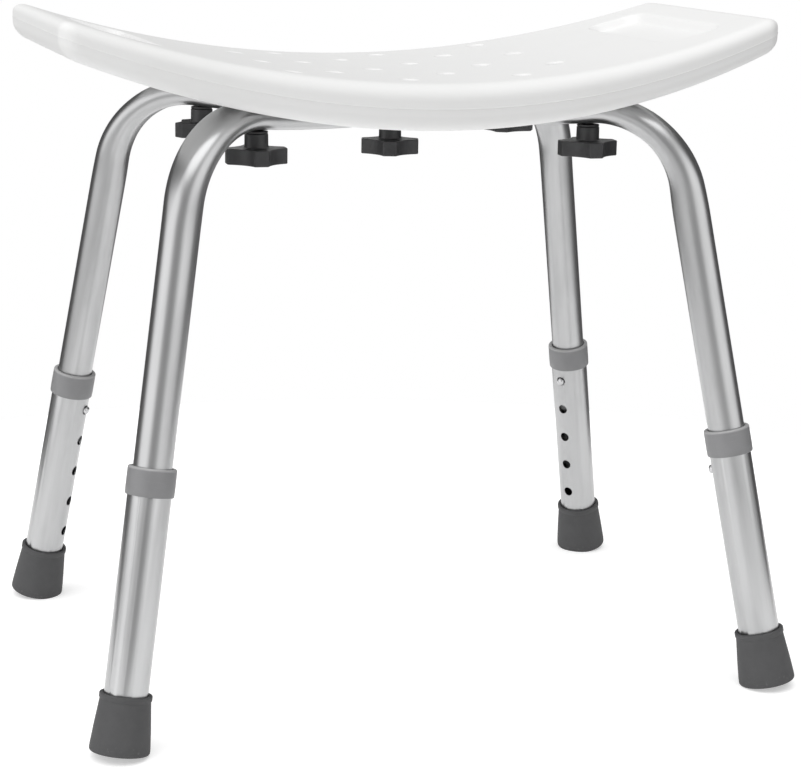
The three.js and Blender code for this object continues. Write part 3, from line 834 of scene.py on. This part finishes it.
# the broad flat face on the underside
def lowestFace(bm):
    broad = [face for face in bm.faces if abs(face.normal.z) > 0.99 and face.calc_area() > 300]
    return min(broad, key=lambda face: face.calc_center_median().z)


def knobMesh():
    headTop = neckTop - knob["neckHeight"]
    bm = bmesh.new()
    outline = []
    for quarter in range(4):
        for point in knobQuarter():
            turnedPoint = Matrix.Rotation(quarter * math.pi / 2, 2) @ point
            outline.append(bm.verts.new((turnedPoint.x, turnedPoint.y, headTop - knob["headHeight"])))
    face = bm.faces.new(outline)
    pulled = vertsOf(bmesh.ops.extrude_face_region(bm, geom=[face])["geom"])
    bmesh.ops.translate(bm, vec=(0, 0, knob["headHeight"]), verts=pulled)
    bmesh.ops.recalc_face_normals(bm, faces=bm.faces)
    soften(bm, knob["tipBevel"], 3, 25, lambda edge: abs(edge.verts[0].co.z - edge.verts[1].co.z) > 1)
    soften(bm, knob["edgeRound"], 3, 60)
    for share, rise in knob["hollow"]:
        under = lowestFace(bm)
        corners = vertsOf(bmesh.ops.extrude_face_region(bm, geom=[under, *under.edges])["geom"])
        bmesh.ops.scale(bm, vec=(share, share, 1), verts=corners)
        bmesh.ops.translate(bm, vec=(0, 0, rise), verts=corners)
    neckRadius, foot = knob["neckRadius"], knob["neckFoot"]
    boreRadius = stud["radius"] + 0.2
    sunk = 1.5  # how deep the neck reaches into the head, and the stud's hole into the neck
    profile = [(0, headTop - sunk), (neckRadius + foot, headTop - sunk), (neckRadius + foot, headTop + 0.02),
               (neckRadius + 0.55, headTop + 0.45), (neckRadius + 0.1, headTop + foot)]
    profile += [(neckRadius, neckTop - 0.5), (neckRadius - 0.5, neckTop), (boreRadius, neckTop),
                (boreRadius, neckTop - sunk), (0, neckTop - sunk)]
    whole = joined([bm, turned(profile, 48)])
    keepLayout(whole)
    return whole


def studMesh(top):
    radius, pitch, depth = stud["radius"], stud["pitch"], stud["threadDepth"]
    profile = [(0, stud["low"]), (radius - depth, stud["low"])]
    height = stud["low"] + pitch / 2
    while height < top - pitch:
        profile += [(radius, height), (radius - depth, height + pitch / 2)]
        height += pitch
    profile += [(radius - depth, top), (0, top)]
    bm = turned(profile, 24)
    keepLayout(bm)
    return bm


def washerMesh():
    low = neckTop + washer["gap"]
    high = low + washer["thickness"]
    bore, radius = washer["bore"], washer["radius"]
    bm = turned([(bore, low), (radius, low), (radius, high), (bore, high), (bore, low)], 48)
    soften(bm, washer["softness"], 2, 50)
    keepLayout(bm)
    return bm


for name in fixingNames:
    x, y, _ = Vector(joints[f"knob_{name}_turn"]["pos_m"]) / mm
    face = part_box(f"knob_washer_{name}")[1].z / mm + washer["gap"]
    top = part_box(f"knob_stud_{name}")[1].z / mm - face
    place = Matrix.Translation((x, y, face)) @ Matrix.Rotation(math.radians(knob["turns"][name]), 4, "Z")
    body = f"knob_{name}"
    head = makePiece(f"knob_skin_{name}", knobMesh(), finishes["black_plastic"], body, [f"knob_{name}"],
                     place)
    evenShading(head)
    makePiece(f"knob_stud_skin_{name}", studMesh(top), finishes["steel"], body,
              [f"knob_stud_{name}"], place)
    makePiece(f"knob_washer_skin_{name}", washerMesh(), finishes["black_plastic"], f"washer_{name}",
              [f"knob_washer_{name}"], place)
print("knobs screwed on")


# ---- carried-over parts ----

def giveFinish(node, finish):
    nodes[node].data.materials.clear()
    nodes[node].data.materials.append(finish)


for corner in cornerNames:
    giveFinish(f"tip_washer_{corner}", finishes["steelInside"])
    giveFinish(f"button_spring_{corner}", finishes["steelInside"])
for name in fixingNames:
    giveFinish(f"seat_insert_{name}", finishes["brass"])
print("inner parts finished")


# ---- floor, light and camera ----

# a pale table that is lit a little from below, so that shadows on it stay light
floorSizes = {"radius": 0.75, "glow": 0.42}

def floorFinish():
    glow = {"Emission Color": (1.0, 1.0, 1.0, 1.0), "Emission Strength": floorSizes["glow"]}
    finish = Finish("paleFloor", 0.0, **glow)
    space = finish.objectSpace()
    clouds = finish.noise(space, 3.0, 3.0)
    colour = finish.blend(clouds, (0.80, 0.80, 0.80), (0.78, 0.78, 0.78))
    return finish.surface(colour, 0.7 + clouds * 0.1, finish.bump(finish.noise(space, 400.0), 0.05, 0.0002))


floorMesh = bmesh.new()
bmesh.ops.create_circle(floorMesh, cap_ends=True, radius=floorSizes["radius"], segments=128)
floor = looseObject(floorMesh, "floor")
floor.data.materials.append(floorFinish())

# soft lights far away; only the first also shows in reflections
lights = [
    {"name": "overhead", "power": 1.75, "spread": 75, "from": (-0.14, -0.24, 1.0), "reflected": True},
    {"name": "leftFill", "power": 1.15, "spread": 70, "from": (-1.0, -0.15, 0.3), "reflected": False},
]

for light in lights:
    lamp = bpy.data.lights.new(light["name"], "SUN")
    lamp.energy = light["power"]
    lamp.angle = math.radians(light["spread"])
    placed = bpy.data.objects.new(light["name"], lamp)
    placed.rotation_euler = Vector(light["from"]).to_track_quat("Z", "Y").to_euler()
    placed.visible_glossy = light["reflected"]
    bpy.context.scene.collection.objects.link(placed)


# what shiny surfaces reflect: a pale floor, two tall soft boxes, the dark room between and behind them
studio = {
    "towards": (-0.317, -0.948),  # the side that the boxes stand on either side of
    "boxAngle": 58.0,  # how far round from there each box stands
    "leftBox": 1.25,
    "rightBox": 1.1,
    "front": 0.4,
    "back": 0.1,
    "ceiling": 0.75,
    "floorFront": 0.7,
    "floorBack": 0.1,
    "backdrop": 1.0,
    "fill": 0.5,  # the even light on matt surfaces
}


def studioWorld():
    world = bpy.data.worlds.new("studio")
    shading = Shading(world)
    direction = shading.node("ShaderNodeTexCoord", {}, {}).outputs["Generated"]
    x, y, z = shading.parts(direction)

    def facing(angle):
        heading = Matrix.Rotation(math.radians(angle), 2) @ Vector(studio["towards"])
        return x * heading.x + y * heading.y

    room = shading.step(facing(0), -0.35, 0.25, (studio["back"], studio["front"]))
    leftBox = shading.step(facing(-studio["boxAngle"]), 0.72, 0.93, (0.0, studio["leftBox"]))
    rightBox = shading.step(facing(studio["boxAngle"]), 0.72, 0.93, (0.0, studio["rightBox"]))
    ceiling = shading.step(z, 0.55, 0.85)
    upper = (room + leftBox + rightBox) * (1 - ceiling) + ceiling * studio["ceiling"]
    below = shading.step(z, -0.12, -0.02, (1.0, 0.0))
    floorward = shading.step(facing(0), -0.2, 0.5, (studio["floorBack"], studio["floorFront"]))
    reflected = upper * (1 - below) + below * floorward
    path = shading.node("ShaderNodeLightPath", {}, {})
    glossy = Value(shading, path.outputs["Is Glossy Ray"])
    seen = Value(shading, path.outputs["Is Camera Ray"])
    strength = glossy * reflected + (1 - glossy) * studio["fill"]
    strength = seen * studio["backdrop"] + (1 - seen) * strength
    white = (1.0, 1.0, 1.0, 1.0)
    background = shading.node("ShaderNodeBackground", {}, {"Color": white, "Strength": strength})
    shading.node("ShaderNodeOutputWorld", {}, {"Surface": background.outputs[0]})
    return world


bpy.context.scene.world = studioWorld()
bpy.context.scene.view_settings.view_transform = "Standard"

cameraSizes = {"at": (-0.4742, -1.4560, 0.5523), "azimuth": -18.505, "down": 13.164, "roll": 0.961,
               "lens": 96.79, "shiftX": -0.0035}

cameraData = bpy.data.cameras.new("camera")
cameraData.lens = cameraSizes["lens"]
cameraData.sensor_width = 36.0
cameraData.shift_x = cameraSizes["shiftX"]
camera = bpy.data.objects.new("camera", cameraData)
turn = (Matrix.Rotation(math.radians(cameraSizes["azimuth"]), 4, "Z")
        @ Matrix.Rotation(math.radians(90 - cameraSizes["down"]), 4, "X")
        @ Matrix.Rotation(math.radians(cameraSizes["roll"]), 4, "Z"))
camera.matrix_world = Matrix.Translation(cameraSizes["at"]) @ turn
bpy.context.scene.collection.objects.link(camera)
bpy.context.scene.camera = camera
print("stage, lights and camera set")
